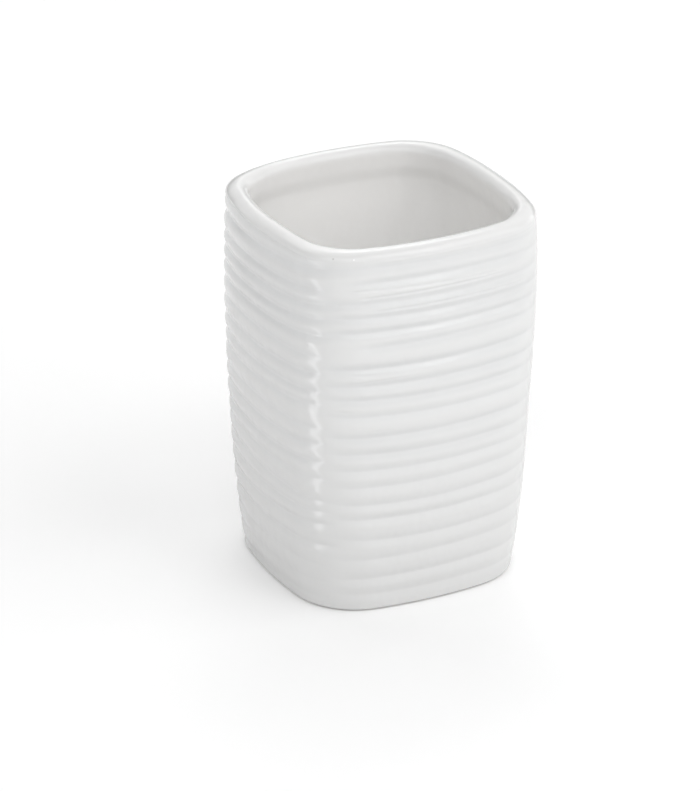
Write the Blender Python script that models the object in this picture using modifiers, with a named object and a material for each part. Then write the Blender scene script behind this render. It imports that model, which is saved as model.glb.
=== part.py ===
"""A ribbed ceramic tumbler that holds toothbrushes: one glazed body and four non-slip pads.

Lengths are metres and +Z is up. The origin lies on the surface that the object stands on, under the
middle of the body. The flats of the rounded square face +X, -X, +Y and -Y.
"""

import math

import bmesh
import bpy

# Overall sizes, measured from the surface that the object stands on
HEIGHT = 0.105
FOOT_CLEARANCE = 0.0004

# Half the width across the flats, at these shares of the height
WIDTH_PLACE_SHARES = (0.0, 0.25, 0.5, 0.75, 1.0)
FOOT_HALF_WIDTH = 0.0328
LOWER_HALF_WIDTH = 0.0354
MIDDLE_HALF_WIDTH = 0.0368
SHOULDER_HALF_WIDTH = 0.0375
RIM_HALF_WIDTH = 0.0368

# The plan is a square whose sides bow outwards and whose corners are round
FOOT_SIDE_RADIUS = 0.1124
RIM_SIDE_RADIUS = 0.1082
FOOT_CORNER_RADIUS = 0.0186
RIM_CORNER_RADIUS = 0.0175
LARGEST_CORNER_SHARE = 0.95
SMALLEST_CORNER_SHARE = 0.2

# Walls and floor
WALL = 0.0043
FLOOR = 0.0050
FLOOR_FILLET = 0.0080

# The rolled rim: how wide and how high its outer and inner rounds are, and the band that thins below it
RIM_OUTER_WIDTH = 0.0028
RIM_OUTER_DROP = 0.0022
RIM_INNER_WIDTH = 0.0025
RIM_INNER_DROP = 0.0038
RIM_BAND_HEIGHT = 0.0055

# Foot ring round the recessed underside
FOOT_EDGE_RADIUS = 0.0006
FOOT_RING_WIDTH = 0.0040
RECESS_DEPTH = 0.0015
RECESS_FILLET = 0.0006

# Non-slip pads, stuck into the recess with a film of adhesive
ADHESIVE_GAP = 0.0003
PAD_RADIUS = 0.0050
PAD_EDGE_RADIUS = 0.0004
PAD_INSET = 0.0051

# Grooves between the ribs, from the lowest to the highest. Each has its height on the faces towards
# +X and -X and on those towards +Y and -Y, as shares of the height, and a share of the full depth.
GROOVE_DEPTH = 0.00045
GROOVE_SHARES = (
    (0.090, 0.062, 0.7),
    (0.135, 0.108, 0.9),
    (0.188, 0.165, 1.0),
    (0.247, 0.218, 1.0),
    (0.290, 0.278, 1.0),
    (0.333, 0.317, 1.0),
    (0.386, 0.371, 0.9),
    (0.429, 0.416, 1.0),
    (0.472, 0.460, 0.9),
    (0.527, 0.509, 0.9),
    (0.576, 0.565, 0.8),
    (0.620, 0.610, 0.8),
    (0.666, 0.651, 0.9),
    (0.718, 0.699, 1.1),
    (0.768, 0.757, 1.0),
    (0.809, 0.795, 1.0),
    (0.848, 0.833, 1.0),
    (0.890, 0.874, 0.9),
    (0.939, 0.928, 1.0),
    (0.973, 0.967, 0.8),
)

# How finely the surfaces are cut up
SIDE_STEPS = 5
CORNER_STEPS = 6
RIB_STEPS = 4
ROUND_STEPS = 3
RIM_STEPS = 5
FILLET_STEPS = 5
INNER_STEPS = 7
PAD_SIDES = 24
PAD_EDGE_STEPS = 2

# Colours, roughness and metallic value of the finishes
GLAZE_COLOUR = (0.84, 0.84, 0.83, 1.0)
GLAZE_ROUGHNESS = 0.15
PAD_COLOUR = (0.72, 0.73, 0.72, 1.0)
PAD_ROUGHNESS = 0.55
METALLIC = 0.0

FLATS = 4
RIGHT_ANGLE = math.pi / 2


def clear_scene():
    for obj in list(bpy.data.objects):
        bpy.data.objects.remove(obj, do_unlink=True)


def make_collection(name):
    collection = bpy.data.collections.new(name)
    bpy.context.scene.collection.children.link(collection)
    return collection


def make_material(name, colour, roughness):
    material = bpy.data.materials.new(name)
    material.use_nodes = True
    shader = material.node_tree.nodes["Principled BSDF"]
    shader.inputs["Base Color"].default_value = colour
    shader.inputs["Roughness"].default_value = roughness
    shader.inputs["Metallic"].default_value = METALLIC
    return material


def mix(low, high, share):
    return low + (high - low) * share


def ease(share):
    """0 to 1 with a level start and end."""
    return share * share * (3 - 2 * share)


def half_width(z):
    """Half the width across the flats at a height: one smooth curve through the five named widths."""
    widths = (FOOT_HALF_WIDTH, LOWER_HALF_WIDTH, MIDDLE_HALF_WIDTH, SHOULDER_HALF_WIDTH, RIM_HALF_WIDTH)
    place = z / HEIGHT
    total = 0.0
    for i, width in enumerate(widths):
        weight = 1.0
        for j, other in enumerate(WIDTH_PLACE_SHARES):
            if j != i:
                weight *= (place - other) / (WIDTH_PLACE_SHARES[i] - other)
        total += width * weight
    return total


def stations():
    """The points round the plan, anticlockwise: which flat, whether on its corner, and the share along it."""
    for flat in range(FLATS):
        for i in range(SIDE_STEPS):
            yield flat, False, i / SIDE_STEPS
        for i in range(CORNER_STEPS):
            yield flat, True, i / CORNER_STEPS


def plan_point(z, inset, flat, on_corner, share):
    """A point of the plan at a height, moved inwards by the inset."""
    width = half_width(z) - inset
    side_radius = mix(FOOT_SIDE_RADIUS, RIM_SIDE_RADIUS, z / HEIGHT) - inset
    corner_radius = mix(FOOT_CORNER_RADIUS, RIM_CORNER_RADIUS, z / HEIGHT) - inset
    corner_radius = min(corner_radius, width * LARGEST_CORNER_SHARE)
    corner_radius = max(corner_radius, width * SMALLEST_CORNER_SHARE)
    behind = side_radius - width
    corner = (math.sqrt(2 * (side_radius - corner_radius) ** 2 - behind**2) - behind) / 2
    half_angle = math.atan2(corner, corner + behind)
    if on_corner:
        angle = mix(half_angle, RIGHT_ANGLE - half_angle, share)
        x = corner + corner_radius * math.cos(angle)
        y = corner + corner_radius * math.sin(angle)
    else:
        angle = mix(-half_angle, half_angle, share)
        x = side_radius * math.cos(angle) - behind
        y = side_radius * math.sin(angle)
    turn = flat * RIGHT_ANGLE
    return x * math.cos(turn) - y * math.sin(turn), x * math.sin(turn) + y * math.cos(turn)


def level_row(z, inset):
    """A row of points round the body at one height."""
    return [(*plan_point(z, inset, *station), z) for station in stations()]


def y_face_share(flat, on_corner, share):
    """0 on the faces towards +X and -X, 1 on those towards +Y and -Y, eased round each corner."""
    here = flat % 2
    if not on_corner:
        return here
    return mix(here, 1 - here, ease(share))


def rib_row(x_face_z, y_face_z, inset):
    """A row of points that follows a rib, which lies a little lower or higher on the next face."""
    row = []
    for station in stations():
        z = mix(x_face_z, y_face_z, y_face_share(*station))
        row.append((*plan_point(z, inset, *station), z))
    return row


def rib_rows():
    """The rows from the foot's edge to the rim: sharp grooves, with a round rib between each two."""
    low = FOOT_CLEARANCE + FOOT_EDGE_RADIUS
    high = HEIGHT - RIM_OUTER_DROP
    grooves = [(HEIGHT * x_share, HEIGHT * y_share, GROOVE_DEPTH * depth_share)
               for x_share, y_share, depth_share in GROOVE_SHARES]
    ends = [(low, low, 0.0)] + grooves + [(high, high, 0.0)]
    rows = []
    for lower, upper in zip(ends, ends[1:]):
        for i in range(RIB_STEPS):
            share = i / RIB_STEPS
            fall = (1 - 2 * share) ** 2
            depth = fall * (lower[2] if 2 * share < 1 else upper[2])
            rows.append(rib_row(mix(lower[0], upper[0], share), mix(lower[1], upper[1], share), depth))
    return rows


def foot_rows():
    """The underside, from the middle of the recess out to the top of the foot's round edge."""
    ring_outer = FOOT_EDGE_RADIUS
    ring_inner = ring_outer + FOOT_RING_WIDTH
    ceiling = FOOT_CLEARANCE + RECESS_DEPTH
    rows = []
    for i in range(ROUND_STEPS + 1):
        angle = RIGHT_ANGLE * i / ROUND_STEPS
        rows.append(level_row(ceiling - RECESS_FILLET * (1 - math.cos(angle)),
                              ring_inner + RECESS_FILLET * (1 - math.sin(angle))))
    rows.append(level_row(FOOT_CLEARANCE, ring_inner))
    for i in range(ROUND_STEPS):
        angle = RIGHT_ANGLE * i / ROUND_STEPS
        rows.append(level_row(FOOT_CLEARANCE + FOOT_EDGE_RADIUS * (1 - math.cos(angle)),
                              ring_outer - FOOT_EDGE_RADIUS * math.sin(angle)))
    return rows


def rim_rows():
    """The rim's soft round top: a flat outer round, then a deeper one that leads down inside."""
    rows = []
    for i in range(RIM_STEPS + 1):
        angle = RIGHT_ANGLE * i / RIM_STEPS
        rows.append(level_row(HEIGHT - RIM_OUTER_DROP * (1 - math.sin(angle)),
                              RIM_OUTER_WIDTH * (1 - math.cos(angle))))
    for i in range(1, RIM_STEPS + 1):
        angle = RIGHT_ANGLE * i / RIM_STEPS
        rows.append(level_row(HEIGHT - RIM_INNER_DROP * (1 - math.cos(angle)),
                              RIM_OUTER_WIDTH + RIM_INNER_WIDTH * math.sin(angle)))
    return rows


def inside_rows():
    """The smooth inside: below the rim's band the wall thins, and a fillet leads on to the floor."""
    top = HEIGHT - RIM_INNER_DROP
    band_end = top - RIM_BAND_HEIGHT
    floor = FOOT_CLEARANCE + RECESS_DEPTH + FLOOR
    fillet_top = floor + FLOOR_FILLET
    rows = []
    for i in range(1, ROUND_STEPS + 1):
        share = i / ROUND_STEPS
        inset = mix(RIM_OUTER_WIDTH + RIM_INNER_WIDTH, WALL, ease(share))
        rows.append(level_row(mix(top, band_end, share), inset))
    for i in range(1, INNER_STEPS):
        rows.append(level_row(mix(band_end, fillet_top, i / INNER_STEPS), WALL))
    for i in range(FILLET_STEPS + 1):
        angle = RIGHT_ANGLE * i / FILLET_STEPS
        rows.append(level_row(fillet_top - FLOOR_FILLET * math.sin(angle),
                              WALL + FLOOR_FILLET * (1 - math.cos(angle))))
    return rows


def loft(name, rows):
    """A closed mesh through rows of points, with a flat face over the first and the last."""
    mesh = bmesh.new()
    loops = [[mesh.verts.new(point) for point in row] for row in rows]
    for lower, upper in zip(loops, loops[1:]):
        for i, corner in enumerate(lower):
            j = (i + 1) % len(lower)
            mesh.faces.new((corner, lower[j], upper[j], upper[i]))
    mesh.faces.new(reversed(loops[0]))
    mesh.faces.new(loops[-1])
    data = bpy.data.meshes.new(name)
    mesh.to_mesh(data)
    mesh.free()
    data.shade_smooth()
    return data


def make_body(collection):
    rows = foot_rows() + rib_rows() + rim_rows() + inside_rows()
    data = loft("tumbler_body", rows)
    data.materials.append(make_material("white_glaze", GLAZE_COLOUR, GLAZE_ROUGHNESS))
    collection.objects.link(bpy.data.objects.new("tumbler_body", data))


def pad_mesh(thickness):
    """A flat disc with eased edges, standing on the origin."""
    mesh = bmesh.new()
    bmesh.ops.create_cone(mesh, cap_ends=True, segments=PAD_SIDES, radius1=PAD_RADIUS,
                          radius2=PAD_RADIUS, depth=thickness)
    bmesh.ops.translate(mesh, verts=mesh.verts, vec=(0, 0, thickness / 2))
    data = bpy.data.meshes.new("pad")
    mesh.to_mesh(data)
    mesh.free()
    data.shade_smooth()
    data.materials.append(make_material("pad_rubber", PAD_COLOUR, PAD_ROUGHNESS))
    return data


def make_pads(collection):
    """Four pads in the corners of the recess, which carry the body clear of the surface."""
    thickness = FOOT_CLEARANCE + RECESS_DEPTH - ADHESIVE_GAP
    reach = half_width(0.0) - FOOT_EDGE_RADIUS - FOOT_RING_WIDTH - PAD_INSET - PAD_RADIUS
    data = pad_mesh(thickness)
    for across, x_side in (("left", -1), ("right", 1)):
        for along, y_side in (("front", -1), ("back", 1)):
            pad = bpy.data.objects.new(f"pad_{along}_{across}", data)
            pad.location = (x_side * reach, y_side * reach, 0.0)
            bevel = pad.modifiers.new("eased_edge", "BEVEL")
            bevel.width = PAD_EDGE_RADIUS
            bevel.segments = PAD_EDGE_STEPS
            collection.objects.link(pad)


def main():
    clear_scene()
    collection = make_collection("toothbrush_holder")
    make_body(collection)
    make_pads(collection)


main()
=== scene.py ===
"""The looks of a ribbed ceramic toothbrush tumbler: its glazed body, its pads and a pale studio.

Laid out as an add-on and run as a script. Lengths are metres, +Z is up, and the origin lies on the
surface that the tumbler stands on, under its middle. The flats of the rounded square face +X, +Y, -X
and -Y, and are counted 0, 1, 2 and 3 in that order. A place round the wall is a turn: a whole number
in the middle of that flat, and a half between two flats at their corner.
"""

import math

import bpy
from bpy.props import FloatProperty, FloatVectorProperty, IntProperty, PointerProperty
from mathutils import Matrix, Vector


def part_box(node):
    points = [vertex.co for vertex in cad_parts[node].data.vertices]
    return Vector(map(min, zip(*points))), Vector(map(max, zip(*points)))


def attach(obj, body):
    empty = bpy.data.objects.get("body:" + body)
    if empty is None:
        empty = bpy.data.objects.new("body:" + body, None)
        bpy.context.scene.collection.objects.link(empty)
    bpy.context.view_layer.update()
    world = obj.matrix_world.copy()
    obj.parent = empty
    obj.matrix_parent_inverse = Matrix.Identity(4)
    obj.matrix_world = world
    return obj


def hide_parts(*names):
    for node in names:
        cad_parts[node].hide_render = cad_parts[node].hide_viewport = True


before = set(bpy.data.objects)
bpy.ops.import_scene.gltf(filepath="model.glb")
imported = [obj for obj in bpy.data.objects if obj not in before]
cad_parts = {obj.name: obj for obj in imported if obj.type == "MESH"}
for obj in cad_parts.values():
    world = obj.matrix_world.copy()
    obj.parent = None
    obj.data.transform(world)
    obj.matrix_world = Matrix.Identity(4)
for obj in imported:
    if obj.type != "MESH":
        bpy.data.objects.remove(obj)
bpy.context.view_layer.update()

bl_info = {
    "name": "Ribbed Tumbler",
    "version": (1, 0, 0),
    "blender": (4, 5, 0),
    "location": "3D View > Sidebar > Tumbler",
    "description": "Makes a ribbed ceramic tumbler, its pads and a pale studio around its packed frame",
    "category": "Object",
}

BODY_LOW, BODY_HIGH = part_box("tumbler_body")
PAD_NAMES = ("pad_front_left", "pad_front_right", "pad_back_left", "pad_back_right")

MM = 0.001
FLATS = 4
RIGHT_ANGLE = math.pi / 2

# How finely the body and the pads are cut up
CORNER_STEPS = 22
SIDE_STEPS = 14
OUTER_ROWS = 500
RIM_STEPS = 12
BAND_STEPS = 12
INNER_ROWS = 26
FILLET_STEPS = 10
EDGE_STEPS = 5
FLAT_STEPS = 6
PAD_SIDES = 64
PAD_EDGE_STEPS = 6

# Radius of a pad's edges
PAD_EDGE = 0.0004

# Share of the band under the rim that keeps the rim's thickness
BAND_EVEN_SHARE = 0.35

# The plan's half widths are given at these shares of the height
WIDTH_PLACE_SHARES = (0.0, 0.25, 0.5, 0.75, 1.0)

# Limits of the plan's corner radius, as shares of the half width
LARGEST_CORNER_SHARE = 0.95
SMALLEST_CORNER_SHARE = 0.2

# How far to each side of a corner, in turns, the rim and the wall are thicker
CORNER_REACH = 0.28

# How far inside the wall ends, on the scale that upper_profile gives
INSIDE_END = 2.0

# A point with more than this share of bare clay belongs to the unglazed foot ring
BARE_LIMIT = 0.9

# Added to the seed for the noise of the grooves' depth and for that of the surface
DEPTH_SEED = 5.0
WAVE_SEED = 9.0

# Painted shade, a darker colour on the rim's crest and at the foot: how far under the top the rim's darkening
# starts and is full, and the height up to which the foot's darkening reaches
RIM_SHADE_DROPS = (0.0024, 0.0008)
FOOT_SHADE_TOP = 0.060

# The painted light deep inside has its full colour at one part in this many of the way down the wall
DEEP_LIGHT_GAIN = 4.0

# Unevenness of the glaze: waves in a metre and detail of its cloudy colour, of its gloss and of its bumps,
# with the share of the clouds, the spread of the roughness, and the bumps' strength and height
CLOUD = (38.0, 2.0)
CLOUD_SHARE = 0.5
GLOSS = (120.0, 3.0)
GLOSS_SPREAD = 0.08
GLAZE_GRAIN = (260.0, 1.0)
GLAZE_BUMP = (0.25, 0.0004)
GLAZE_IOR = 1.5

# Strength of the painted glint, a white glow that stands in for a highlight, on each blister
PAINTED_GLINT = 0.35

# Grain of the bare clay and of the pads: waves in a metre, detail, the share of the colour that its dark
# places keep, the least roughness and what the grain adds to it, and the strength and height of its bumps
CLAY_GRAIN = (900.0, 4.0, 0.82, 0.7, 0.2, 0.5, 0.0002)
PAD_GRAIN = (1400.0, 3.0, 0.88, 0.4, 0.2, 0.3, 0.0001)

BLACK = (0.0, 0.0, 0.0, 1.0)
WHITE = (1.0, 1.0, 1.0, 1.0)
FLOOR_COLOUR = (0.88, 0.88, 0.88, 1.0)

# The camera's sensor, in millimetres
SENSOR = 36.0

# The grooves on the flat towards -X and on the one towards -Y, from the highest to the lowest: heights
# in millimetres near the flat's left end, in its middle and near its right end, a share of the full
# depth, and how far from the middle the groove has faded out towards the corner between the two flats.
# The ends lie END_TURN before and after the middle. The flats behind repeat the two, turned half round.
END_TURN = 0.35
LEFT_GROOVES = (
    (103.1, 103.5, 103.8, 0.84, 0.56),
    (98.1, 98.6, 99.7, 1.39, 0.60),
    (92.5, 93.5, 94.5, 1.18, 0.54),
    (88.2, 89.1, 90.1, 1.56, 0.60),
    (84.0, 84.9, 86.1, 1.31, 0.56),
    (79.5, 80.5, 81.5, 1.35, 0.58),
    (74.6, 75.5, 75.8, 0.86, 0.54),
    (69.1, 70.0, 70.8, 1.18, 0.54),
    (64.2, 65.0, 65.7, 1.00, 0.54),
    (60.2, 60.6, 61.7, 0.87, 0.54),
    (54.4, 55.1, 55.2, 0.71, 0.54),
    (49.5, 49.6, 50.3, 1.06, 0.54),
    (44.0, 44.2, 45.0, 1.18, 0.54),
    (39.8, 39.9, 40.2, 0.73, 0.54),
    (35.3, 34.5, 33.8, 0.84, 0.54),
    (29.9, 29.7, 30.1, 0.81, 0.56),
    (24.6, 24.8, 26.0, 1.00, 0.56),
    (19.1, 19.4, 19.9, 0.92, 0.60),
    (13.6, 13.5, 13.6, 0.41, 0.54),
    (8.0, 8.0, 8.4, 0.38, 0.54),
    (2.4, 3.1, 3.5, 0.62, 0.54),
)
FRONT_GROOVES = (
    (100.7, 100.5, 100.3, 0.95, 0.55),
    (96.4, 96.6, 96.5, 1.37, 0.46),
    (91.0, 90.9, 91.3, 1.25, 0.55),
    (87.0, 86.7, 86.9, 1.44, 0.55),
    (82.8, 82.7, 82.9, 1.66, 0.55),
    (78.5, 78.7, 78.9, 1.23, 0.42),
    (72.5, 72.4, 72.7, 1.79, 0.55),
    (67.7, 67.4, 67.5, 1.60, 0.55),
    (63.7, 63.1, 63.2, 1.31, 0.55),
    (58.9, 58.3, 58.3, 0.94, 0.55),
    (52.7, 52.3, 52.4, 1.21, 0.55),
    (47.8, 47.2, 47.2, 1.24, 0.55),
    (43.0, 42.7, 42.8, 0.91, 0.55),
    (37.9, 37.8, 38.3, 0.83, 0.55),
    (32.7, 32.3, 33.0, 0.97, 0.55),
    (28.4, 28.0, 28.4, 1.12, 0.55),
    (22.2, 21.5, 22.0, 0.87, 0.55),
    (16.1, 16.3, 16.8, 0.73, 0.55),
    (10.2, 10.3, 10.6, 0.89, 0.55),
    (5.3, 5.2, 5.4, 0.61, 0.55),
)

# Where the grooves of each flat end towards its far corner, and over which lengths they fade there and
# towards the corner between the two flats
FAR_TURNS = (0.30, 0.30, 0.66, 0.56)
FAR_FADES = (0.15, 0.15, 0.10, 0.26)
NEAR_FADES = (0.14, 0.16, 0.14, 0.16)

# Share of their depth that the grooves of each flat lack near that corner, and how far along that reaches
NEAR_LACKS = (0.0, 0.3, 0.0, 0.3)
LACK_TURNS = 0.30

# Fine tool marks on the flat towards -Y, repeated on the one behind it: where each starts and ends round
# the flat, its heights in millimetres there, and its depth as a share of the full depth, which is negative
# for a raised line
FINE_MARKS = (
    (-0.32, 0.52, 102.3, 102.6, -0.16),
    (-0.42, 0.32, 94.9, 93.8, 0.42),
    (-0.36, 0.32, 92.7, 93.2, 0.42),
    (-0.30, 0.42, 88.8, 89.1, 0.50),
    (-0.42, -0.10, 71.4, 70.0, 0.24),
    (-0.42, -0.10, 68.7, 69.6, 0.20),
    (-0.34, -0.22, 55.0, 54.3, 0.22),
    (-0.48, -0.36, 61.0, 60.7, 0.22),
)

# Width of a fine mark as a share of a groove's, and the flats that have these marks
FINE_WIDTH_SHARE = 0.25
FINE_FLATS = (1, 3)

# The lamps: where each hangs round the tumbler, from -Y towards +X, and how high, both in degrees, then
# its distance, width and height in metres
LAMPS = (
    ("front_lamp", 0, 40, 1.3, 1.2, 1.2),
    ("front_right_lamp", 45, 40, 1.3, 1.2, 1.2),
    ("low_right_lamp", 90, 14, 1.3, 1.2, 0.6),
    ("back_right_lamp", 135, 40, 1.3, 1.2, 1.2),
    ("back_lamp", 180, 40, 1.3, 1.2, 1.2),
    ("high_back_lamp", 180, 65, 1.3, 1.2, 1.2),
    ("low_back_left_lamp", -135, 14, 1.3, 1.2, 0.6),
    ("low_left_lamp", -90, 14, 1.3, 1.2, 0.6),
    ("front_left_lamp", -45, 40, 1.3, 1.2, 1.2),
    ("streak_lamp", 145, 50, 1.2, 0.36, 0.1),
)

# Pale patches of the floor, which widen away from a point: each one's direction and half its spread in
# degrees, where it starts and ends, its strength, and where its point lies between the tumbler's middle, 0,
# and its box's front left corner, 1. The first shows as the streak down the front corner, and the second
# as the pale back edge
GLOWS = (
    ("streak_patch", -88, 7.0, 0.045, 0.5, 3.1, 0.87),
    ("back_patch", 153.6, 45.0, 0.13, 2.5, 1.0, 0.0),
)

# Height of the patches over the floor
GLOW_LIFT = 0.002

# Blemishes of the glaze beside the rim's front corner and at the back of the rim, the blisters shown only as
# painted
# glints: places and radii in millimetres
PINHOLE = (-28.2, -31.2, 103.7)
PINHOLE_RADIUS = 0.35
BLISTERS = ((-23.6, -33.9, 103.6), (22.8, 29.1, 103.5))
BLISTER_RADIUS = 0.3

# Where the soft clay gave way before it was fired: the turn and the share of the height in the middle of
# each such place, how far it reaches in turns and in shares of the height, and its depth in millimetres,
# which is negative where the clay stands out
PRESSES = (
    (1.50, 0.95, 0.55, 0.45, 0.60),
    (1.38, 1.00, 0.12, 0.12, 0.80),
    (3.72, 1.00, 0.18, 0.15, -0.45),
    (0.70, 1.00, 0.30, 0.15, -0.30),
    (3.50, 0.83, 0.30, 0.12, -0.25),
    (3.50, 0.46, 0.40, 0.18, 0.30),
    (2.18, 1.00, 0.20, 0.10, 0.60),
)


class TumblerShape(bpy.types.PropertyGroup):
    """Sizes of the ceramic body."""

    half_widths: FloatVectorProperty(
        name="Half Widths", description="Half the width across the flats, from the foot to the rim",
        size=len(WIDTH_PLACE_SHARES), unit="LENGTH", default=(0.0328, 0.0354, 0.0368, 0.0375, 0.0368))
    side_radii: FloatVectorProperty(
        name="Side Radii", description="Radius of the bowed sides at the foot and at the rim",
        size=2, unit="LENGTH", default=(0.1124, 0.1082))
    corner_radii: FloatVectorProperty(
        name="Corner Radii", description="Radius of the plan's corners at the foot and at the rim",
        size=2, unit="LENGTH", default=(0.0186, 0.0175))
    wall: FloatProperty(
        name="Wall", description="Thickness of the wall near the floor", unit="LENGTH", default=0.0043)
    rim_widths: FloatVectorProperty(
        name="Rim Widths", description="Width of the rim's outer and inner round",
        size=2, unit="LENGTH", default=(0.0031, 0.0025))
    rim_drops: FloatVectorProperty(
        name="Rim Drops", description="Height of the rim's outer and inner round",
        size=2, unit="LENGTH", default=(0.0022, 0.0027))
    rim_band: FloatProperty(
        name="Rim Band", description="Height over which the rim thins to the neck",
        unit="LENGTH", default=0.0076)
    neck: FloatProperty(
        name="Neck", description="Thickness of the wall just under the rim", unit="LENGTH", default=0.0050)
    corner_swell: FloatProperty(
        name="Corner Swell", description="Share by which rim and wall are thicker at the corners",
        subtype="FACTOR", default=0.18)
    floor: FloatProperty(
        name="Floor", description="Thickness of the floor", unit="LENGTH", default=0.0050)
    floor_fillet: FloatProperty(
        name="Floor Fillet", description="Radius between wall and floor", unit="LENGTH", default=0.0080)
    foot_edge: FloatProperty(
        name="Foot Edge", description="Radius of the foot's outer edge", unit="LENGTH", default=0.0006)
    foot_ring: FloatProperty(
        name="Foot Ring", description="Width of the foot ring", unit="LENGTH", default=0.0040)
    recess: FloatProperty(
        name="Recess", description="Depth of the recessed underside", unit="LENGTH", default=0.0015)
    recess_fillet: FloatProperty(
        name="Recess Fillet", description="Radius where the recess meets its ring",
        unit="LENGTH", default=0.0006)


class TumblerRibs(bpy.types.PropertyGroup):
    """The grooves that leave the ribs standing between them."""

    depth: FloatProperty(
        name="Depth", description="Full depth of a groove", unit="LENGTH", default=0.00050)
    half_width: FloatProperty(
        name="Half Width", description="Half the width of a groove with its shoulders",
        unit="LENGTH", default=0.0025)
    softness: FloatProperty(
        name="Softness", description="Radius that the glaze leaves in a groove's bottom",
        unit="LENGTH", default=0.0004)
    fade: FloatProperty(
        name="Fade", description="Share of a flat over which a fine mark's end fades", default=0.07)
    variation: FloatProperty(
        name="Variation", description="Share by which a groove's depth comes and goes",
        subtype="FACTOR", default=0.35)
    wander: FloatProperty(
        name="Wander", description="How far a groove strays up and down", unit="LENGTH", default=0.00020)
    wander_size: FloatProperty(
        name="Wander Size", description="Waves of the wander in a metre", default=45.0)
    wave: FloatProperty(
        name="Wave", description="Unevenness of the whole surface", unit="LENGTH", default=0.00008)
    wave_size: FloatProperty(
        name="Wave Size", description="Waves of the unevenness in a metre", default=40.0)
    seed: IntProperty(name="Seed", description="Seed of the wander", default=4)


class TumblerFinish(bpy.types.PropertyGroup):
    """Colours and gloss of the finishes."""

    glaze: FloatVectorProperty(
        name="Glaze", description="Colour of the glaze", subtype="COLOR", size=4,
        default=(0.85, 0.85, 0.845, 1.0), min=0.0, max=1.0)
    glaze_deep: FloatVectorProperty(
        name="Deep Glaze", description="Colour where the glaze has run thick into the grooves",
        subtype="COLOR", size=4, default=(0.82, 0.825, 0.825, 1.0), min=0.0, max=1.0)
    # Painted light: the inside is made lighter to stand in for the light that reaches it
    inside_painted_light: FloatVectorProperty(
        name="Inside Light", description="Painted light, a lighter colour inside",
        subtype="COLOR", size=4, default=(0.885, 0.877, 0.865, 1.0), min=0.0, max=1.0)
    # Painted shade: the rim's crest is darkened to tone down the light that falls on it
    rim_painted_shade: FloatVectorProperty(
        name="Rim Shade", description="Painted shade, a darker colour on the rim's crest", subtype="COLOR", size=4,
        default=(0.80, 0.80, 0.795, 1.0), min=0.0, max=1.0)
    # Painted shade: the glaze colour darkens towards the foot to stand in for the shade low on the walls
    foot_painted_shade: FloatVectorProperty(
        name="Foot Shade", description="Painted shade, a darker colour towards the foot", subtype="COLOR", size=4,
        default=(0.79, 0.79, 0.785, 1.0), min=0.0, max=1.0)
    # Painted light: a near-white colour deep inside stands in for the light that reaches down there
    deep_painted_light: FloatVectorProperty(
        name="Deep Inside Light", description="Painted light, a lighter colour deep inside",
        subtype="COLOR", size=4, default=(0.97, 0.965, 0.955, 1.0), min=0.0, max=1.0)
    glaze_roughness: FloatProperty(
        name="Glaze Roughness", description="Roughness of the glaze", subtype="FACTOR", default=0.12)
    pinhole: FloatVectorProperty(
        name="Pinhole", description="Colour in a pinhole of the glaze", subtype="COLOR", size=4,
        default=(0.50, 0.49, 0.47, 1.0), min=0.0, max=1.0)
    clay: FloatVectorProperty(
        name="Clay", description="Colour of the bare foot ring", subtype="COLOR", size=4,
        default=(0.74, 0.71, 0.66, 1.0), min=0.0, max=1.0)
    pad: FloatVectorProperty(
        name="Pad", description="Colour of the pads", subtype="COLOR", size=4,
        default=(0.62, 0.63, 0.62, 1.0), min=0.0, max=1.0)


class TumblerStudio(bpy.types.PropertyGroup):
    """Light, floor and camera."""

    lamps: FloatVectorProperty(
        name="Lamps", description="Power of each lamp of the table of lamps, in its order",
        size=len(LAMPS), default=(4.2, 7.9, 2.9, 4.0, 3.6, 3.4, 2.2, 1.2, 6.4, 0.5), min=0.0)
    floor_white: FloatProperty(
        name="Floor White", description="Light that the floor adds for the camera alone", default=0.14)
    glow: FloatProperty(
        name="Glow", description="Factor on the strengths of the floor's pale patches", default=1.0)
    floor_size: FloatProperty(
        name="Floor Size", description="Side of the floor", unit="LENGTH", default=8.0)
    azimuth: FloatProperty(
        name="Azimuth", description="Where the camera stands round the tumbler",
        subtype="ANGLE", default=math.radians(-26.365))
    elevation: FloatProperty(
        name="Elevation", description="How high the camera stands", subtype="ANGLE",
        default=math.radians(24.692))
    distance: FloatProperty(
        name="Distance", description="From the tumbler's middle to the camera",
        unit="LENGTH", default=1.1277)
    focal_pixels: FloatProperty(
        name="Focal Length", description="Focal length in pixels of the photograph", default=4200.0)
    picture_height: FloatProperty(
        name="Picture Height", description="Height of the photograph in pixels", default=791.0)
    aim_right: FloatProperty(
        name="Aim Right", description="Pixels by which the tumbler's middle lies right of the centre",
        default=30.32)
    aim_up: FloatProperty(
        name="Aim Up", description="Pixels by which the tumbler's middle lies above the centre",
        default=20.06)


class TumblerSettings(bpy.types.PropertyGroup):
    """All that a user would change."""

    shape: PointerProperty(type=TumblerShape)
    ribs: PointerProperty(type=TumblerRibs)
    finish: PointerProperty(type=TumblerFinish)
    studio: PointerProperty(type=TumblerStudio)


def settings():
    """The values that a user can change."""
    return bpy.context.scene.tumbler


def mix(low, high, share):
    """The value at a share of the way between two."""
    return low + (high - low) * share


def ease(share):
    """0 to 1 with a level start and end."""
    return share * share * (3 - 2 * share)


def add_object(name, data):
    """A new object of the scene."""
    obj = bpy.data.objects.new(name, data)
    bpy.context.scene.collection.objects.link(obj)
    return obj


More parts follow.
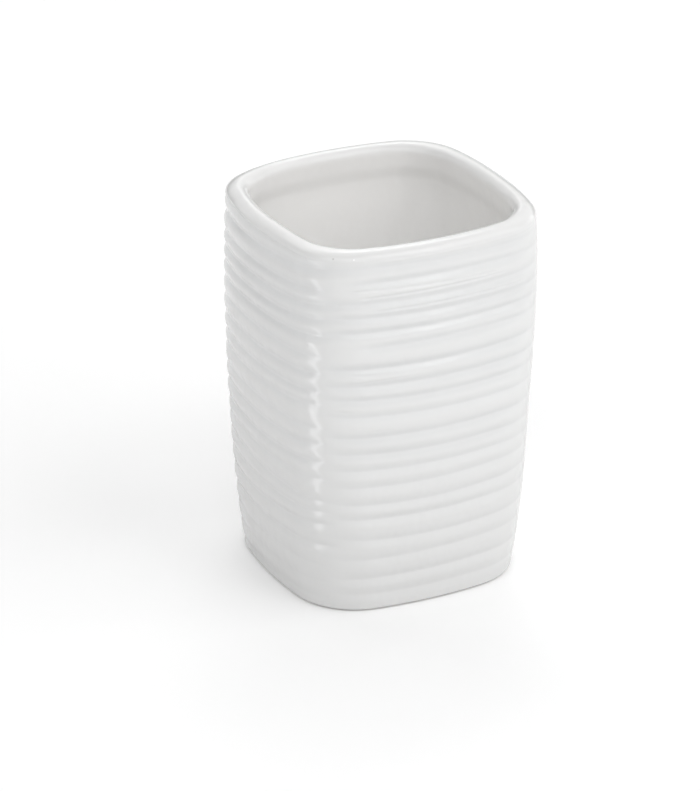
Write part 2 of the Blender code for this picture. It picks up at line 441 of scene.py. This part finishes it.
def half_width(shape, z):
    """Half the width across the flats at a height: one smooth curve through the five widths."""
    place = z / BODY_HIGH.z
    total = 0.0
    for i, width in enumerate(shape.half_widths):
        weight = 1.0
        for j, other in enumerate(WIDTH_PLACE_SHARES):
            if j != i:
                weight *= (place - other) / (WIDTH_PLACE_SHARES[i] - other)
        total += width * weight
    return total


def stations():
    """The points round the plan, anticlockwise: which flat, whether on its corner, and the share along it."""
    for flat in range(FLATS):
        for i in range(SIDE_STEPS):
            yield flat, False, i / SIDE_STEPS
        for i in range(CORNER_STEPS):
            yield flat, True, i / CORNER_STEPS


def plan_point(shape, z, inset, flat, on_corner, share):
    """A point of the plan at a height, moved inwards by the inset, and the outward direction there."""
    place = z / BODY_HIGH.z
    width = half_width(shape, z) - inset
    side_radius = mix(*shape.side_radii, place) - inset
    corner_radius = mix(*shape.corner_radii, place) - inset
    corner_radius = min(corner_radius, width * LARGEST_CORNER_SHARE)
    corner_radius = max(corner_radius, width * SMALLEST_CORNER_SHARE)
    behind = side_radius - width
    corner = (math.sqrt(2 * (side_radius - corner_radius) ** 2 - behind**2) - behind) / 2
    half_angle = math.atan2(corner, corner + behind)
    if on_corner:
        angle = mix(half_angle, RIGHT_ANGLE - half_angle, share)
        middle, radius = (corner, corner), corner_radius
    else:
        angle = mix(-half_angle, half_angle, share)
        middle, radius = (-behind, 0.0), side_radius
    point = Vector((middle[0] + radius * math.cos(angle), middle[1] + radius * math.sin(angle), z))
    turn = Matrix.Rotation(flat * RIGHT_ANGLE, 3, "Z")
    return turn @ point, turn @ Vector((math.cos(angle), math.sin(angle), 0))


def foot_profile(shape):
    """Height, inset and whether it is bare clay, from the middle of the recess to the foot's outer edge."""
    foot = BODY_LOW.z
    ceiling = foot + shape.recess
    ring_inner = shape.foot_edge + shape.foot_ring
    middle = half_width(shape, foot)
    for i in range(1, FLAT_STEPS):
        yield ceiling, mix(middle, ring_inner + shape.recess_fillet, i / FLAT_STEPS), 0.0
    for i in range(EDGE_STEPS + 1):
        angle = RIGHT_ANGLE * i / EDGE_STEPS
        yield (ceiling - shape.recess_fillet * (1 - math.cos(angle)),
               ring_inner + shape.recess_fillet * (1 - math.sin(angle)), 0.0)
    for i in range(EDGE_STEPS + 1):
        yield foot, mix(ring_inner, shape.foot_edge, i / EDGE_STEPS), 1.0
    for i in range(1, EDGE_STEPS):
        angle = RIGHT_ANGLE * i / EDGE_STEPS
        yield foot + shape.foot_edge * (1 - math.cos(angle)), shape.foot_edge * (1 - math.sin(angle)), 0.0


def upper_profile(shape):
    """Height, inset and how far inside it is, over the rim to 1, down the wall to 2 and across the floor."""
    top = BODY_HIGH.z
    outer_width, inner_width = shape.rim_widths
    outer_drop, inner_drop = shape.rim_drops
    band_end = top - inner_drop - shape.rim_band
    floor = BODY_LOW.z + shape.recess + shape.floor
    fillet_top = floor + shape.floor_fillet
    for i in range(RIM_STEPS):
        angle = RIGHT_ANGLE * i / RIM_STEPS
        yield top - outer_drop * (1 - math.sin(angle)), outer_width * (1 - math.cos(angle)), 0.0
    for i in range(RIM_STEPS):
        angle = RIGHT_ANGLE * i / RIM_STEPS
        yield (top - inner_drop * (1 - math.cos(angle)),
               outer_width + inner_width * math.sin(angle), i / RIM_STEPS)
    for i in range(BAND_STEPS):
        share = i / BAND_STEPS
        thinned = ease(max(0.0, share - BAND_EVEN_SHARE) / (1 - BAND_EVEN_SHARE))
        yield mix(top - inner_drop, band_end, share), mix(outer_width + inner_width, shape.neck, thinned), 1.0
    for i in range(INNER_ROWS):
        share = i / INNER_ROWS
        yield mix(band_end, fillet_top, share), mix(shape.neck, shape.wall, share), 1.0 + share
    for i in range(FILLET_STEPS + 1):
        angle = RIGHT_ANGLE * i / FILLET_STEPS
        yield (fillet_top - shape.floor_fillet * math.sin(angle),
               shape.wall + shape.floor_fillet * (1 - math.cos(angle)), INSIDE_END)
    middle = half_width(shape, floor)
    for i in range(1, FLAT_STEPS):
        yield floor, mix(shape.wall + shape.floor_fillet, middle, i / FLAT_STEPS), INSIDE_END


def body_rows(shape):
    """Each row's height and inset, whether it is on the ribbed wall or of bare clay, and how far inside."""
    rows = [(z, inset, 0.0, bare, 0.0) for z, inset, bare in foot_profile(shape)]
    low = BODY_LOW.z + shape.foot_edge
    high = BODY_HIGH.z - shape.rim_drops[0]
    rows += [(mix(low, high, i / OUTER_ROWS), 0.0, 1.0, 0.0, 0.0) for i in range(OUTER_ROWS)]
    rows += [(z, inset, 0.0, 0.0, inside) for z, inset, inside in upper_profile(shape)]
    return rows


def wall_turns(shape):
    """Where each station lies round the wall, from the plan at half height."""
    middle = mix(BODY_LOW.z, BODY_HIGH.z, 0.5)
    points = [plan_point(shape, middle, 0.0, *station)[0] for station in stations()]
    lengths = [(points[(i + 1) % len(points)] - point).length for i, point in enumerate(points)]
    quarter = sum(lengths) / FLATS
    side = sum(lengths[:SIDE_STEPS])
    turns = []
    travelled = -side / 2
    for length in lengths:
        turns.append(travelled / quarter)
        travelled += length
    return turns


def pressed(z, turn):
    """How far the clay gave way at a height and a turn."""
    place = z / BODY_HIGH.z
    total = 0.0
    for middle_turn, middle_share, turn_reach, share_reach, depth in PRESSES:
        away = (turn - middle_turn + FLATS / 2) % FLATS - FLATS / 2
        fall = (away / turn_reach) ** 2 + ((place - middle_share) / share_reach) ** 2
        total += depth * MM * math.exp(-fall)
    return total


def swell(shape, z, inset, turn):
    """How much further inwards a place of the inside lies than it would in the middle of a flat."""
    if z <= BODY_LOW.z + shape.recess:
        return 0.0
    thick = sum(shape.rim_widths)
    room = 1 - max(0.0, inset - thick) / (half_width(shape, z) - thick)
    near = max(0.0, 1 - abs(turn % 1 - 0.5) / CORNER_REACH)
    return shape.corner_swell * ease(near) * min(inset, thick) * room


def smooth_body(shape):
    """The body before its ribs: a closed loft with its places stored on its points."""
    rows = body_rows(shape)
    turns = wall_turns(shape)
    count = len(turns)
    points, outward, turn, on_wall, bare, inside = [], [], [], [], [], []
    for z, inset, wall_share, bare_share, inside_share in rows:
        for place, station in zip(turns, stations()):
            point, direction = plan_point(shape, z, inset + swell(shape, z, inset, place), *station)
            points.append(point - direction * pressed(z, place))
            outward.extend(direction)
            turn.append(place)
            on_wall.append(wall_share)
            bare.append(bare_share)
            inside.append(inside_share)
    faces = []
    for row in range(len(rows) - 1):
        for i in range(count):
            j = (i + 1) % count
            faces.append((row * count + i, row * count + j, (row + 1) * count + j, (row + 1) * count + i))
    first, last = len(points), len(points) + 1
    for z, inside_share in ((rows[0][0], 0.0), (rows[-1][0], INSIDE_END)):
        points.append(Vector((0, 0, z)))
        outward.extend((0, 0, 0))
        turn.append(0.0)
        on_wall.append(0.0)
        bare.append(0.0)
        inside.append(inside_share)
    top_row = (len(rows) - 1) * count
    for i in range(count):
        j = (i + 1) % count
        faces.append((first, j, i))
        faces.append((last, top_row + i, top_row + j))
    data = bpy.data.meshes.new("smooth_body")
    data.from_pydata(points, [], faces)
    data.attributes.new("outward", "FLOAT_VECTOR", "POINT").data.foreach_set("vector", outward)
    for name, values in (("turn", turn), ("on_wall", on_wall), ("bare", bare), ("inside", inside)):
        data.attributes.new(name, "FLOAT", "POINT").data.foreach_set("value", values)
    return add_object("smooth_body", data)


def groove_lines(mark_fade):
    """One point for each groove, which holds where and how it runs as attributes."""
    lines = []
    for flat in range(FLATS):
        for left, middle, right, depth, front in FRONT_GROOVES if flat % 2 else LEFT_GROOVES:
            slope = (right - left) / (2 * END_TURN)
            bend = ((right + left) / 2 - middle) / END_TURN**2
            far, far_fade, fade = FAR_TURNS[flat], FAR_FADES[flat], NEAR_FADES[flat]
            ends = (-front, far, fade, far_fade) if flat % 2 else (-far, front, far_fade, fade)
            lines.append((flat, middle * MM, slope * MM, bend * MM, depth, 1.0, *ends, NEAR_LACKS[flat]))
    for flat in FINE_FLATS:
        for start, end, start_height, end_height, depth in FINE_MARKS:
            slope = (end_height - start_height) / (end - start)
            middle = start_height - slope * start
            lines.append((flat, middle * MM, slope * MM, 0.0, depth, FINE_WIDTH_SHARE, start, end,
                          mark_fade, mark_fade, 0.0))
    data = bpy.data.meshes.new("groove_lines")
    data.from_pydata([(0, 0, line[1]) for line in lines], [], [])
    names = ("flat", "middle", "slope", "bend", "depth", "width", "start", "end", "start_fade", "end_fade",
             "lack")
    for i, name in enumerate(names):
        data.attributes.new(name, "FLOAT", "POINT").data.foreach_set("value", [line[i] for line in lines])
    return add_object("groove_lines", data)


class Tree:
    """A small helper that adds nodes to a node tree and links them."""

    def __init__(self, tree):
        self.tree = tree

    def add(self, kind, values=None, **properties):
        """A node with its properties set, and its inputs linked or given a value, by name or number."""
        node = self.tree.nodes.new(kind)
        for name, value in properties.items():
            setattr(node, name, value)
        for name, value in (values or {}).items():
            self.give(node.inputs[name], value)
        return node

    def give(self, socket, value):
        """Links a socket to another one, or sets its value."""
        if isinstance(value, bpy.types.NodeSocket):
            self.tree.links.new(value, socket)
        else:
            socket.default_value = value

    def maths(self, operation, *values, clamp=False):
        """The result of one sum on numbers or sockets."""
        inputs = dict(enumerate(values))
        return self.add("ShaderNodeMath", inputs, operation=operation, use_clamp=clamp).outputs[0]


def field(tree, name, kind="FLOAT"):
    """A named attribute as a field."""
    node = tree.add("GeometryNodeInputNamedAttribute", {"Name": name}, data_type=kind)
    return node.outputs["Attribute"]


def one_groove(tree, start, lines, number, level):
    """How far one line's groove sinks the surface, as a share of the full depth."""

    def sample(name):
        return tree.add("GeometryNodeSampleIndex", {
            "Geometry": lines, "Value": field(tree, name), "Index": number}).outputs[0]

    def fade(distance, length):
        return tree.add("ShaderNodeMapRange", {"Value": distance, "From Max": length},
                        interpolation_type="SMOOTHSTEP").outputs[0]

    away = tree.maths("SUBTRACT", field(tree, "turn"), sample("flat"))
    away = tree.maths("WRAP", away, FLATS / 2, -FLATS / 2)
    bent = tree.maths("MULTIPLY_ADD", away, sample("bend"), sample("slope"))
    line = tree.maths("MULTIPLY_ADD", away, bent, sample("middle"))
    gap = tree.maths("SUBTRACT", level, line)
    width = sample("width")
    softness = tree.maths("MULTIPLY", start["Softness"], width)
    soft = tree.maths("MULTIPLY", softness, softness)
    reach = tree.maths("SQRT", tree.maths("MULTIPLY_ADD", gap, gap, soft))
    reach = tree.maths("DIVIDE", tree.maths("SUBTRACT", reach, softness), width)
    shape = tree.maths("SUBTRACT", 1.0, tree.maths("DIVIDE", reach, start["Half Width"]), clamp=True)
    shape = tree.maths("MULTIPLY", shape, shape)
    begun = tree.maths("SUBTRACT", away, sample("start"))
    left = tree.maths("SUBTRACT", sample("end"), away)
    ends = tree.maths("MULTIPLY", fade(begun, sample("start_fade")), fade(left, sample("end_fade")))
    missing = tree.maths("SUBTRACT", 1.0, fade(begun, LACK_TURNS))
    kept = tree.maths("SUBTRACT", 1.0, tree.maths("MULTIPLY", sample("lack"), missing))
    ends = tree.maths("MULTIPLY", ends, kept)
    return tree.maths("MULTIPLY", tree.maths("MULTIPLY", shape, ends), sample("depth"))


def rib_tree(glaze, clay):
    """Sinks the grooves into the smooth body: a loop adds up the fall that each groove line gives."""
    group = bpy.data.node_groups.new("sink_grooves", "GeometryNodeTree")
    face = group.interface
    face.new_socket("Geometry", in_out="INPUT", socket_type="NodeSocketGeometry")
    face.new_socket("Lines", in_out="INPUT", socket_type="NodeSocketObject")
    for name in ("Depth", "Half Width", "Softness", "Variation", "Wander", "Wander Size",
                 "Wave", "Wave Size", "Seed"):
        face.new_socket(name, in_out="INPUT", socket_type="NodeSocketFloat")
    face.new_socket("Geometry", in_out="OUTPUT", socket_type="NodeSocketGeometry")
    tree = Tree(group)
    start = group.nodes.new("NodeGroupInput").outputs
    lines = tree.add("GeometryNodeObjectInfo", {"Object": start["Lines"]}).outputs["Geometry"]
    count = tree.add("GeometryNodeAttributeDomainSize", {"Geometry": lines}).outputs["Point Count"]
    place = group.nodes.new("GeometryNodeInputPosition").outputs[0]
    height = tree.add("ShaderNodeSeparateXYZ", {0: place}).outputs["Z"]

    def noise(scale, shift):
        seed = tree.maths("ADD", start["Seed"], shift)
        node = tree.add("ShaderNodeTexNoise", {"Vector": place, "W": seed, "Scale": scale, "Detail": 1.0},
                        noise_dimensions="4D")
        return tree.maths("MULTIPLY_ADD", node.outputs[0], 2.0, -1.0)

    wander = tree.maths("MULTIPLY", noise(start["Wander Size"], 0.0), start["Wander"])
    variation = tree.maths("MULTIPLY_ADD", noise(start["Wander Size"], DEPTH_SEED), start["Variation"], 1.0)
    level = tree.maths("ADD", height, wander)

    loop_in = group.nodes.new("GeometryNodeRepeatInput")
    loop_out = group.nodes.new("GeometryNodeRepeatOutput")
    loop_in.pair_with_output(loop_out)
    loop_out.repeat_items.clear()
    loop_out.repeat_items.new("FLOAT", "Fall")
    tree.give(loop_in.inputs["Iterations"], count)
    loop_in.inputs["Fall"].default_value = 0.0
    fall = one_groove(tree, start, lines, loop_in.outputs["Iteration"], level)
    tree.give(loop_out.inputs["Fall"], tree.maths("ADD", loop_in.outputs["Fall"], fall))

    fall = tree.maths("MULTIPLY", loop_out.outputs["Fall"], field(tree, "on_wall"))
    fall = tree.maths("MULTIPLY", fall, variation)
    kept = tree.add("GeometryNodeStoreNamedAttribute", {
        "Geometry": start["Geometry"], "Name": "groove", "Value": fall}, data_type="FLOAT")
    wave = tree.maths("SUBTRACT", noise(start["Wave Size"], WAVE_SEED), 1.0)
    wave = tree.maths("MULTIPLY", wave, start["Wave"])
    wave = tree.maths("MULTIPLY", wave, tree.maths("SUBTRACT", 1.0, field(tree, "bare")))
    moved = tree.maths("SUBTRACT", wave, tree.maths("MULTIPLY", fall, start["Depth"]))
    offset = tree.add("ShaderNodeVectorMath", {
        0: field(tree, "outward", "FLOAT_VECTOR"), "Scale": moved}, operation="SCALE").outputs[0]
    shaped = tree.add("GeometryNodeSetPosition", {"Geometry": kept.outputs[0], "Offset": offset})
    smooth = tree.add("GeometryNodeSetShadeSmooth", {"Geometry": shaped.outputs[0]})
    real = tree.add("GeometryNodeRealizeInstances", {"Geometry": smooth.outputs[0]})
    glazed = tree.add("GeometryNodeSetMaterial", {"Geometry": real.outputs[0], "Material": glaze})
    on_ring = tree.add("FunctionNodeCompare", {
        0: field(tree, "bare"), 1: BARE_LIMIT}, operation="GREATER_THAN")
    footed = tree.add("GeometryNodeSetMaterial", {
        "Geometry": glazed.outputs[0], "Selection": on_ring.outputs[0], "Material": clay})
    tree.give(group.nodes.new("NodeGroupOutput").inputs["Geometry"], footed.outputs[0])
    return group


def set_inputs(modifier, values):
    """Sets a modifier's inputs by the identifiers of the tree's named sockets."""
    for item in modifier.node_group.interface.items_tree:
        if item.item_type == "SOCKET" and item.in_out == "INPUT" and item.name in values:
            modifier[item.identifier] = values[item.name]


def settle(obj, name):
    """The object's evaluated mesh as a plain object of its own, in place of the object."""
    graph = bpy.context.evaluated_depsgraph_get()
    data = bpy.data.meshes.new_from_object(obj.evaluated_get(graph), depsgraph=graph)
    data.name = name
    bpy.data.objects.remove(obj, do_unlink=True)
    return add_object(name, data)


def noise_group():
    """A node group: the fine unevenness of a fired or moulded surface, from 0 to 1."""
    group = bpy.data.node_groups.new("fired_unevenness", "ShaderNodeTree")
    face = group.interface
    face.new_socket("Size", in_out="INPUT", socket_type="NodeSocketFloat")
    face.new_socket("Detail", in_out="INPUT", socket_type="NodeSocketFloat")
    face.new_socket("Share", in_out="OUTPUT", socket_type="NodeSocketFloat")
    tree = Tree(group)
    start = group.nodes.new("NodeGroupInput").outputs
    place = tree.add("ShaderNodeTexCoord").outputs["Object"]
    noise = tree.add("ShaderNodeTexNoise", {
        "Vector": place, "Scale": start["Size"], "Detail": start["Detail"]})
    tree.give(group.nodes.new("NodeGroupOutput").inputs["Share"], noise.outputs[0])
    return group


def unevenness(tree, size, detail):
    """The unevenness, with this many waves in a metre."""
    group = bpy.data.node_groups.get("fired_unevenness") or noise_group()
    node = tree.add("ShaderNodeGroup", node_tree=group)
    node.inputs["Size"].default_value = size
    node.inputs["Detail"].default_value = detail
    return node.outputs["Share"]


def new_material(name):
    """A material, a helper for its nodes, and its shader."""
    material = bpy.data.materials.new(name)
    material.use_nodes = True
    return material, Tree(material.node_tree), material.node_tree.nodes["Principled BSDF"]


def colour_mix(tree, share, low, high):
    """A colour between two, by a share that changes over the surface."""
    node = tree.tree.nodes.new("ShaderNodeMix")
    node.data_type = "RGBA"
    tree.give(node.inputs[0], share)
    tree.give(node.inputs[6], low)
    tree.give(node.inputs[7], high)
    return node.outputs[2]


def spot(tree, place, radius):
    """1 at a small round blemish and 0 away from it."""
    here = tree.add("ShaderNodeTexCoord").outputs["Object"]
    away = tree.add("ShaderNodeVectorMath", {0: here, 1: [MM * value for value in place]},
                    operation="DISTANCE").outputs["Value"]
    return tree.maths("SUBTRACT", 1.0, tree.maths("DIVIDE", away, MM * radius), clamp=True)


def glaze_colour(tree, finish):
    """The glaze's colour: thick in the grooves, with painted shade that darkens it towards the foot and on
    the rim's crest, and painted light that lightens it inside and more so deep inside.
    """
    groove = tree.add("ShaderNodeAttribute", attribute_name="groove").outputs["Fac"]
    share = tree.maths("MULTIPLY_ADD", unevenness(tree, *CLOUD), CLOUD_SHARE, groove, clamp=True)
    colour = colour_mix(tree, share, tuple(finish.glaze), tuple(finish.glaze_deep))
    place = tree.add("ShaderNodeTexCoord").outputs["Object"]
    height = tree.add("ShaderNodeSeparateXYZ", {0: place}).outputs["Z"]
    # Painted shade: the colour darkens from the height given above down to the foot
    foot = tree.add("ShaderNodeMapRange", {
        "Value": height, "From Min": FOOT_SHADE_TOP, "From Max": 0.0}).outputs[0]
    colour = colour_mix(tree, foot, colour, tuple(finish.foot_painted_shade))
    # Painted light: the colour lightens inside
    inside = tree.add("ShaderNodeAttribute", attribute_name="inside").outputs["Fac"]
    colour = colour_mix(tree, inside, colour, tuple(finish.inside_painted_light))
    # Painted light: the colour lightens further down inside
    deep_light = tree.maths("MULTIPLY_ADD", inside, DEEP_LIGHT_GAIN, -DEEP_LIGHT_GAIN, clamp=True)
    colour = colour_mix(tree, deep_light, colour, tuple(finish.deep_painted_light))
    # Painted shade: the colour darkens on the rim's crest
    crest = tree.add("ShaderNodeMapRange", {
        "Value": height, "From Min": BODY_HIGH.z - RIM_SHADE_DROPS[0],
        "From Max": BODY_HIGH.z - RIM_SHADE_DROPS[1]}).outputs[0]
    colour = colour_mix(tree, crest, colour, tuple(finish.rim_painted_shade))
    return colour_mix(tree, spot(tree, PINHOLE, PINHOLE_RADIUS), colour, tuple(finish.pinhole))


def glaze_material(finish):
    """Glossy white glaze with clouds, a pinhole, and painted glints on two blisters."""
    material, tree, shader = new_material("white_glaze")
    tree.give(shader.inputs["Base Color"], glaze_colour(tree, finish))
    least = finish.glaze_roughness - GLOSS_SPREAD / 2
    gloss = tree.maths("MULTIPLY_ADD", unevenness(tree, *GLOSS), GLOSS_SPREAD, least)
    tree.give(shader.inputs["Roughness"], gloss)
    # Painted highlight: each blister glows white through emission
    painted_glint = tree.maths("ADD", *[spot(tree, place, BLISTER_RADIUS) for place in BLISTERS])
    tree.give(shader.inputs["Emission Color"], colour_mix(tree, painted_glint, BLACK, WHITE))
    shader.inputs["Emission Strength"].default_value = PAINTED_GLINT
    strength, height = GLAZE_BUMP
    bump = tree.add("ShaderNodeBump", {
        "Strength": strength, "Distance": height, "Height": unevenness(tree, *GLAZE_GRAIN)})
    tree.give(shader.inputs["Normal"], bump.outputs[0])
    shader.inputs["IOR"].default_value = GLAZE_IOR
    return material


def grained_material(name, colour, size, detail, dark_share, smoothest, rougher, strength, height):
    """A matt material whose fine grain changes its colour and roughness and stands out a little."""
    material, tree, shader = new_material(name)
    share = unevenness(tree, size, detail)
    dark = tuple(dark_share * channel for channel in colour[:3]) + (1.0,)
    tree.give(shader.inputs["Base Color"], colour_mix(tree, share, dark, tuple(colour)))
    tree.give(shader.inputs["Roughness"], tree.maths("MULTIPLY_ADD", share, rougher, smoothest))
    bump = tree.add("ShaderNodeBump", {"Strength": strength, "Distance": height, "Height": share})
    tree.give(shader.inputs["Normal"], bump.outputs[0])
    return material


def floor_material(white):
    """White, and lit a little for the camera alone, so that it shows white and keeps the shadow."""
    material, tree, shader = new_material("studio_floor")
    shader.inputs["Roughness"].default_value = 1.0
    shader.inputs["Specular IOR Level"].default_value = 0.0
    shader.inputs["Base Color"].default_value = FLOOR_COLOUR
    path = tree.add("ShaderNodeLightPath").outputs
    shader.inputs["Emission Color"].default_value = WHITE
    tree.give(shader.inputs["Emission Strength"], tree.maths("MULTIPLY", path["Is Camera Ray"], white))
    return material


class TUMBLER_OT_make_body(bpy.types.Operator):
    """Make the glazed body with its ribs"""

    bl_idname = "tumbler.make_body"
    bl_label = "Make Body"

    def execute(self, context):
        chosen = settings()
        ribs = chosen.ribs
        body = smooth_body(chosen.shape)
        lines = groove_lines(ribs.fade)
        modifier = body.modifiers.new("ribs", "NODES")
        clay = grained_material("bare_clay", chosen.finish.clay, *CLAY_GRAIN)
        modifier.node_group = rib_tree(glaze_material(chosen.finish), clay)
        set_inputs(modifier, {
            "Lines": lines, "Depth": ribs.depth, "Half Width": ribs.half_width, "Softness": ribs.softness,
            "Variation": ribs.variation, "Wander": ribs.wander, "Wander Size": ribs.wander_size,
            "Wave": ribs.wave, "Wave Size": ribs.wave_size, "Seed": float(ribs.seed)})
        piece = settle(body, "glazed_body")
        bpy.data.objects.remove(lines, do_unlink=True)
        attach(piece, "root")
        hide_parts("tumbler_body")
        return {"FINISHED"}


def turned_pad(name, low, high):
    """A disc with rounded edges that fills the pad's box."""
    centre = (low + high) / 2
    radius = (high.x - low.x) / 2
    profile = []
    for i in range(PAD_EDGE_STEPS + 1):
        angle = RIGHT_ANGLE * i / PAD_EDGE_STEPS
        profile.append((radius - PAD_EDGE * (1 - math.sin(angle)), low.z + PAD_EDGE * (1 - math.cos(angle))))
    for i in range(PAD_EDGE_STEPS + 1):
        angle = RIGHT_ANGLE * i / PAD_EDGE_STEPS
        profile.append((radius - PAD_EDGE * (1 - math.cos(angle)), high.z - PAD_EDGE * (1 - math.sin(angle))))
    profile = [(radius / 2, low.z)] + profile + [(radius / 2, high.z)]
    points, faces = [], []
    for r, z in profile:
        for i in range(PAD_SIDES):
            angle = 2 * math.pi * i / PAD_SIDES
            points.append((centre.x + r * math.cos(angle), centre.y + r * math.sin(angle), z))
    for row in range(len(profile) - 1):
        for i in range(PAD_SIDES):
            j = (i + 1) % PAD_SIDES
            faces.append((row * PAD_SIDES + i, row * PAD_SIDES + j,
                          (row + 1) * PAD_SIDES + j, (row + 1) * PAD_SIDES + i))
    faces.append(tuple(reversed(range(PAD_SIDES))))
    faces.append(tuple(range((len(profile) - 1) * PAD_SIDES, len(profile) * PAD_SIDES)))
    data = bpy.data.meshes.new(name)
    data.from_pydata(points, [], faces)
    data.shade_smooth()
    return add_object(name, data)


class TUMBLER_OT_make_pads(bpy.types.Operator):
    """Make the four non-slip pads"""

    bl_idname = "tumbler.make_pads"
    bl_label = "Make Pads"

    def execute(self, context):
        rubber = grained_material("pad_rubber", settings().finish.pad, *PAD_GRAIN)
        for name in PAD_NAMES:
            low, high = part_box(name)
            piece = turned_pad(f"{name}_disc", low, high)
            piece.data.materials.append(rubber)
            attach(piece, "root")
            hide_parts(name)
        return {"FINISHED"}


def heading(azimuth, elevation):
    """The direction at an azimuth, which goes from -Y towards +X, and an elevation."""
    level = math.cos(elevation)
    return Vector((math.sin(azimuth) * level, -math.cos(azimuth) * level, math.sin(elevation)))


def round_place(azimuth, elevation, distance):
    """A place round the tumbler's middle, with both angles in degrees."""
    way = heading(math.radians(azimuth), math.radians(elevation))
    return Vector((0, 0, BODY_HIGH.z / 2)) + distance * way


def area_lamp(name, place, target, width, height, power):
    """A soft rectangular lamp at a place, facing a target."""
    data = bpy.data.lights.new(name, "AREA")
    data.shape = "RECTANGLE"
    data.size = width
    data.size_y = height
    data.energy = power
    lamp = add_object(name, data)
    lamp.location = place
    lamp.rotation_euler = (Vector(target) - Vector(place)).to_track_quat("-Z", "Y").to_euler()
    lamp.visible_camera = False


def floor_glow(name, azimuth, spread, near, far, strength, corner_share):
    """A pale patch of light on the floor, which shows only where the glaze reflects it."""
    spread = math.tan(math.radians(spread))
    along = heading(math.radians(azimuth), 0.0)
    across = Vector((0, 0, 1)).cross(along)
    corner = Vector((BODY_LOW.x, BODY_LOW.y, 0)) * corner_share
    points = []
    for distance, side in ((near, -1), (far, -1), (far, 1), (near, 1)):
        points.append(corner + along * distance + across * distance * spread * side
                      + Vector((0, 0, GLOW_LIFT)))
    data = bpy.data.meshes.new(name)
    data.from_pydata(points, [], [(0, 1, 2, 3)])
    material = bpy.data.materials.new(name)
    material.use_nodes = True
    nodes = material.node_tree.nodes
    nodes.clear()
    light = nodes.new("ShaderNodeEmission")
    light.inputs["Strength"].default_value = strength
    end = nodes.new("ShaderNodeOutputMaterial")
    material.node_tree.links.new(light.outputs[0], end.inputs["Surface"])
    data.materials.append(material)
    glow = add_object(name, data)
    for kind in ("visible_camera", "visible_diffuse", "visible_transmission", "visible_shadow"):
        setattr(glow, kind, False)


def make_room():
    """White behind everything for the camera, and no light of its own."""
    world = bpy.data.worlds.new("studio")
    bpy.context.scene.world = world
    world.use_nodes = True
    tree = Tree(world.node_tree)
    back = world.node_tree.nodes["Background"]
    back.inputs["Color"].default_value = WHITE
    path = tree.add("ShaderNodeLightPath").outputs
    seen = tree.maths("MAXIMUM", path["Is Camera Ray"], path["Is Transmission Ray"])
    tree.give(back.inputs["Strength"], seen)


def make_camera(studio):
    """The camera, turned a little away from the tumbler's middle to frame it as the photograph does."""
    middle = Vector((0, 0, BODY_HIGH.z / 2))
    yaw = studio.azimuth + studio.aim_right / studio.focal_pixels
    pitch = studio.elevation + studio.aim_up / studio.focal_pixels
    data = bpy.data.cameras.new("camera")
    data.sensor_width = SENSOR
    data.lens = data.sensor_width * studio.focal_pixels / studio.picture_height
    camera = add_object("camera", data)
    right = Vector((math.cos(yaw), math.sin(yaw), 0))
    behind = heading(yaw, pitch)
    up = behind.cross(right)
    camera.matrix_world = Matrix((right, up, behind)).transposed().to_4x4()
    camera.location = middle + heading(studio.azimuth, studio.elevation) * studio.distance
    bpy.context.scene.camera = camera


class TUMBLER_OT_make_studio(bpy.types.Operator):
    """Make the pale floor, the lamps and the camera"""

    bl_idname = "tumbler.make_studio"
    bl_label = "Make Studio"

    def execute(self, context):
        studio = settings().studio
        half = studio.floor_size / 2
        data = bpy.data.meshes.new("studio_floor")
        data.from_pydata([(-half, -half, 0), (half, -half, 0), (half, half, 0), (-half, half, 0)], [],
                         [(0, 1, 2, 3)])
        data.materials.append(floor_material(studio.floor_white))
        add_object("studio_floor", data)
        target = (0, 0, BODY_HIGH.z / 2)
        for (name, azimuth, elevation, distance, width, height), power in zip(LAMPS, studio.lamps):
            area_lamp(name, round_place(azimuth, elevation, distance), target, width, height, power)
        for name, azimuth, spread, near, far, strength, corner_share in GLOWS:
            floor_glow(name, azimuth, spread, near, far, strength * studio.glow, corner_share)
        make_room()
        make_camera(studio)
        bpy.context.scene.view_settings.view_transform = "Standard"
        return {"FINISHED"}


class TUMBLER_PT_panel(bpy.types.Panel):
    """Lists the tumbler's pieces and its sizes"""

    bl_idname = "TUMBLER_PT_panel"
    bl_label = "Ribbed Tumbler"
    bl_space_type = "VIEW_3D"
    bl_region_type = "UI"
    bl_category = "Tumbler"

    def draw(self, context):
        chosen = context.scene.tumbler
        for operator in OPERATORS:
            self.layout.operator(operator.bl_idname)
        for group in (chosen.shape, chosen.ribs, chosen.finish, chosen.studio):
            box = self.layout.box()
            for name in group.__annotations__:
                box.prop(group, name)


OPERATORS = (TUMBLER_OT_make_body, TUMBLER_OT_make_pads, TUMBLER_OT_make_studio)
CLASSES = (TumblerShape, TumblerRibs, TumblerFinish, TumblerStudio, TumblerSettings,
           *OPERATORS, TUMBLER_PT_panel)


def register():
    for item in CLASSES:
        bpy.utils.register_class(item)
    bpy.types.Scene.tumbler = PointerProperty(type=TumblerSettings)


def unregister():
    del bpy.types.Scene.tumbler
    for item in reversed(CLASSES):
        bpy.utils.unregister_class(item)


def main():
    """Makes everything in order."""
    register()
    bpy.ops.tumbler.make_body()
    bpy.ops.tumbler.make_pads()
    bpy.ops.tumbler.make_studio()


if __name__ == "__main__":
    main()
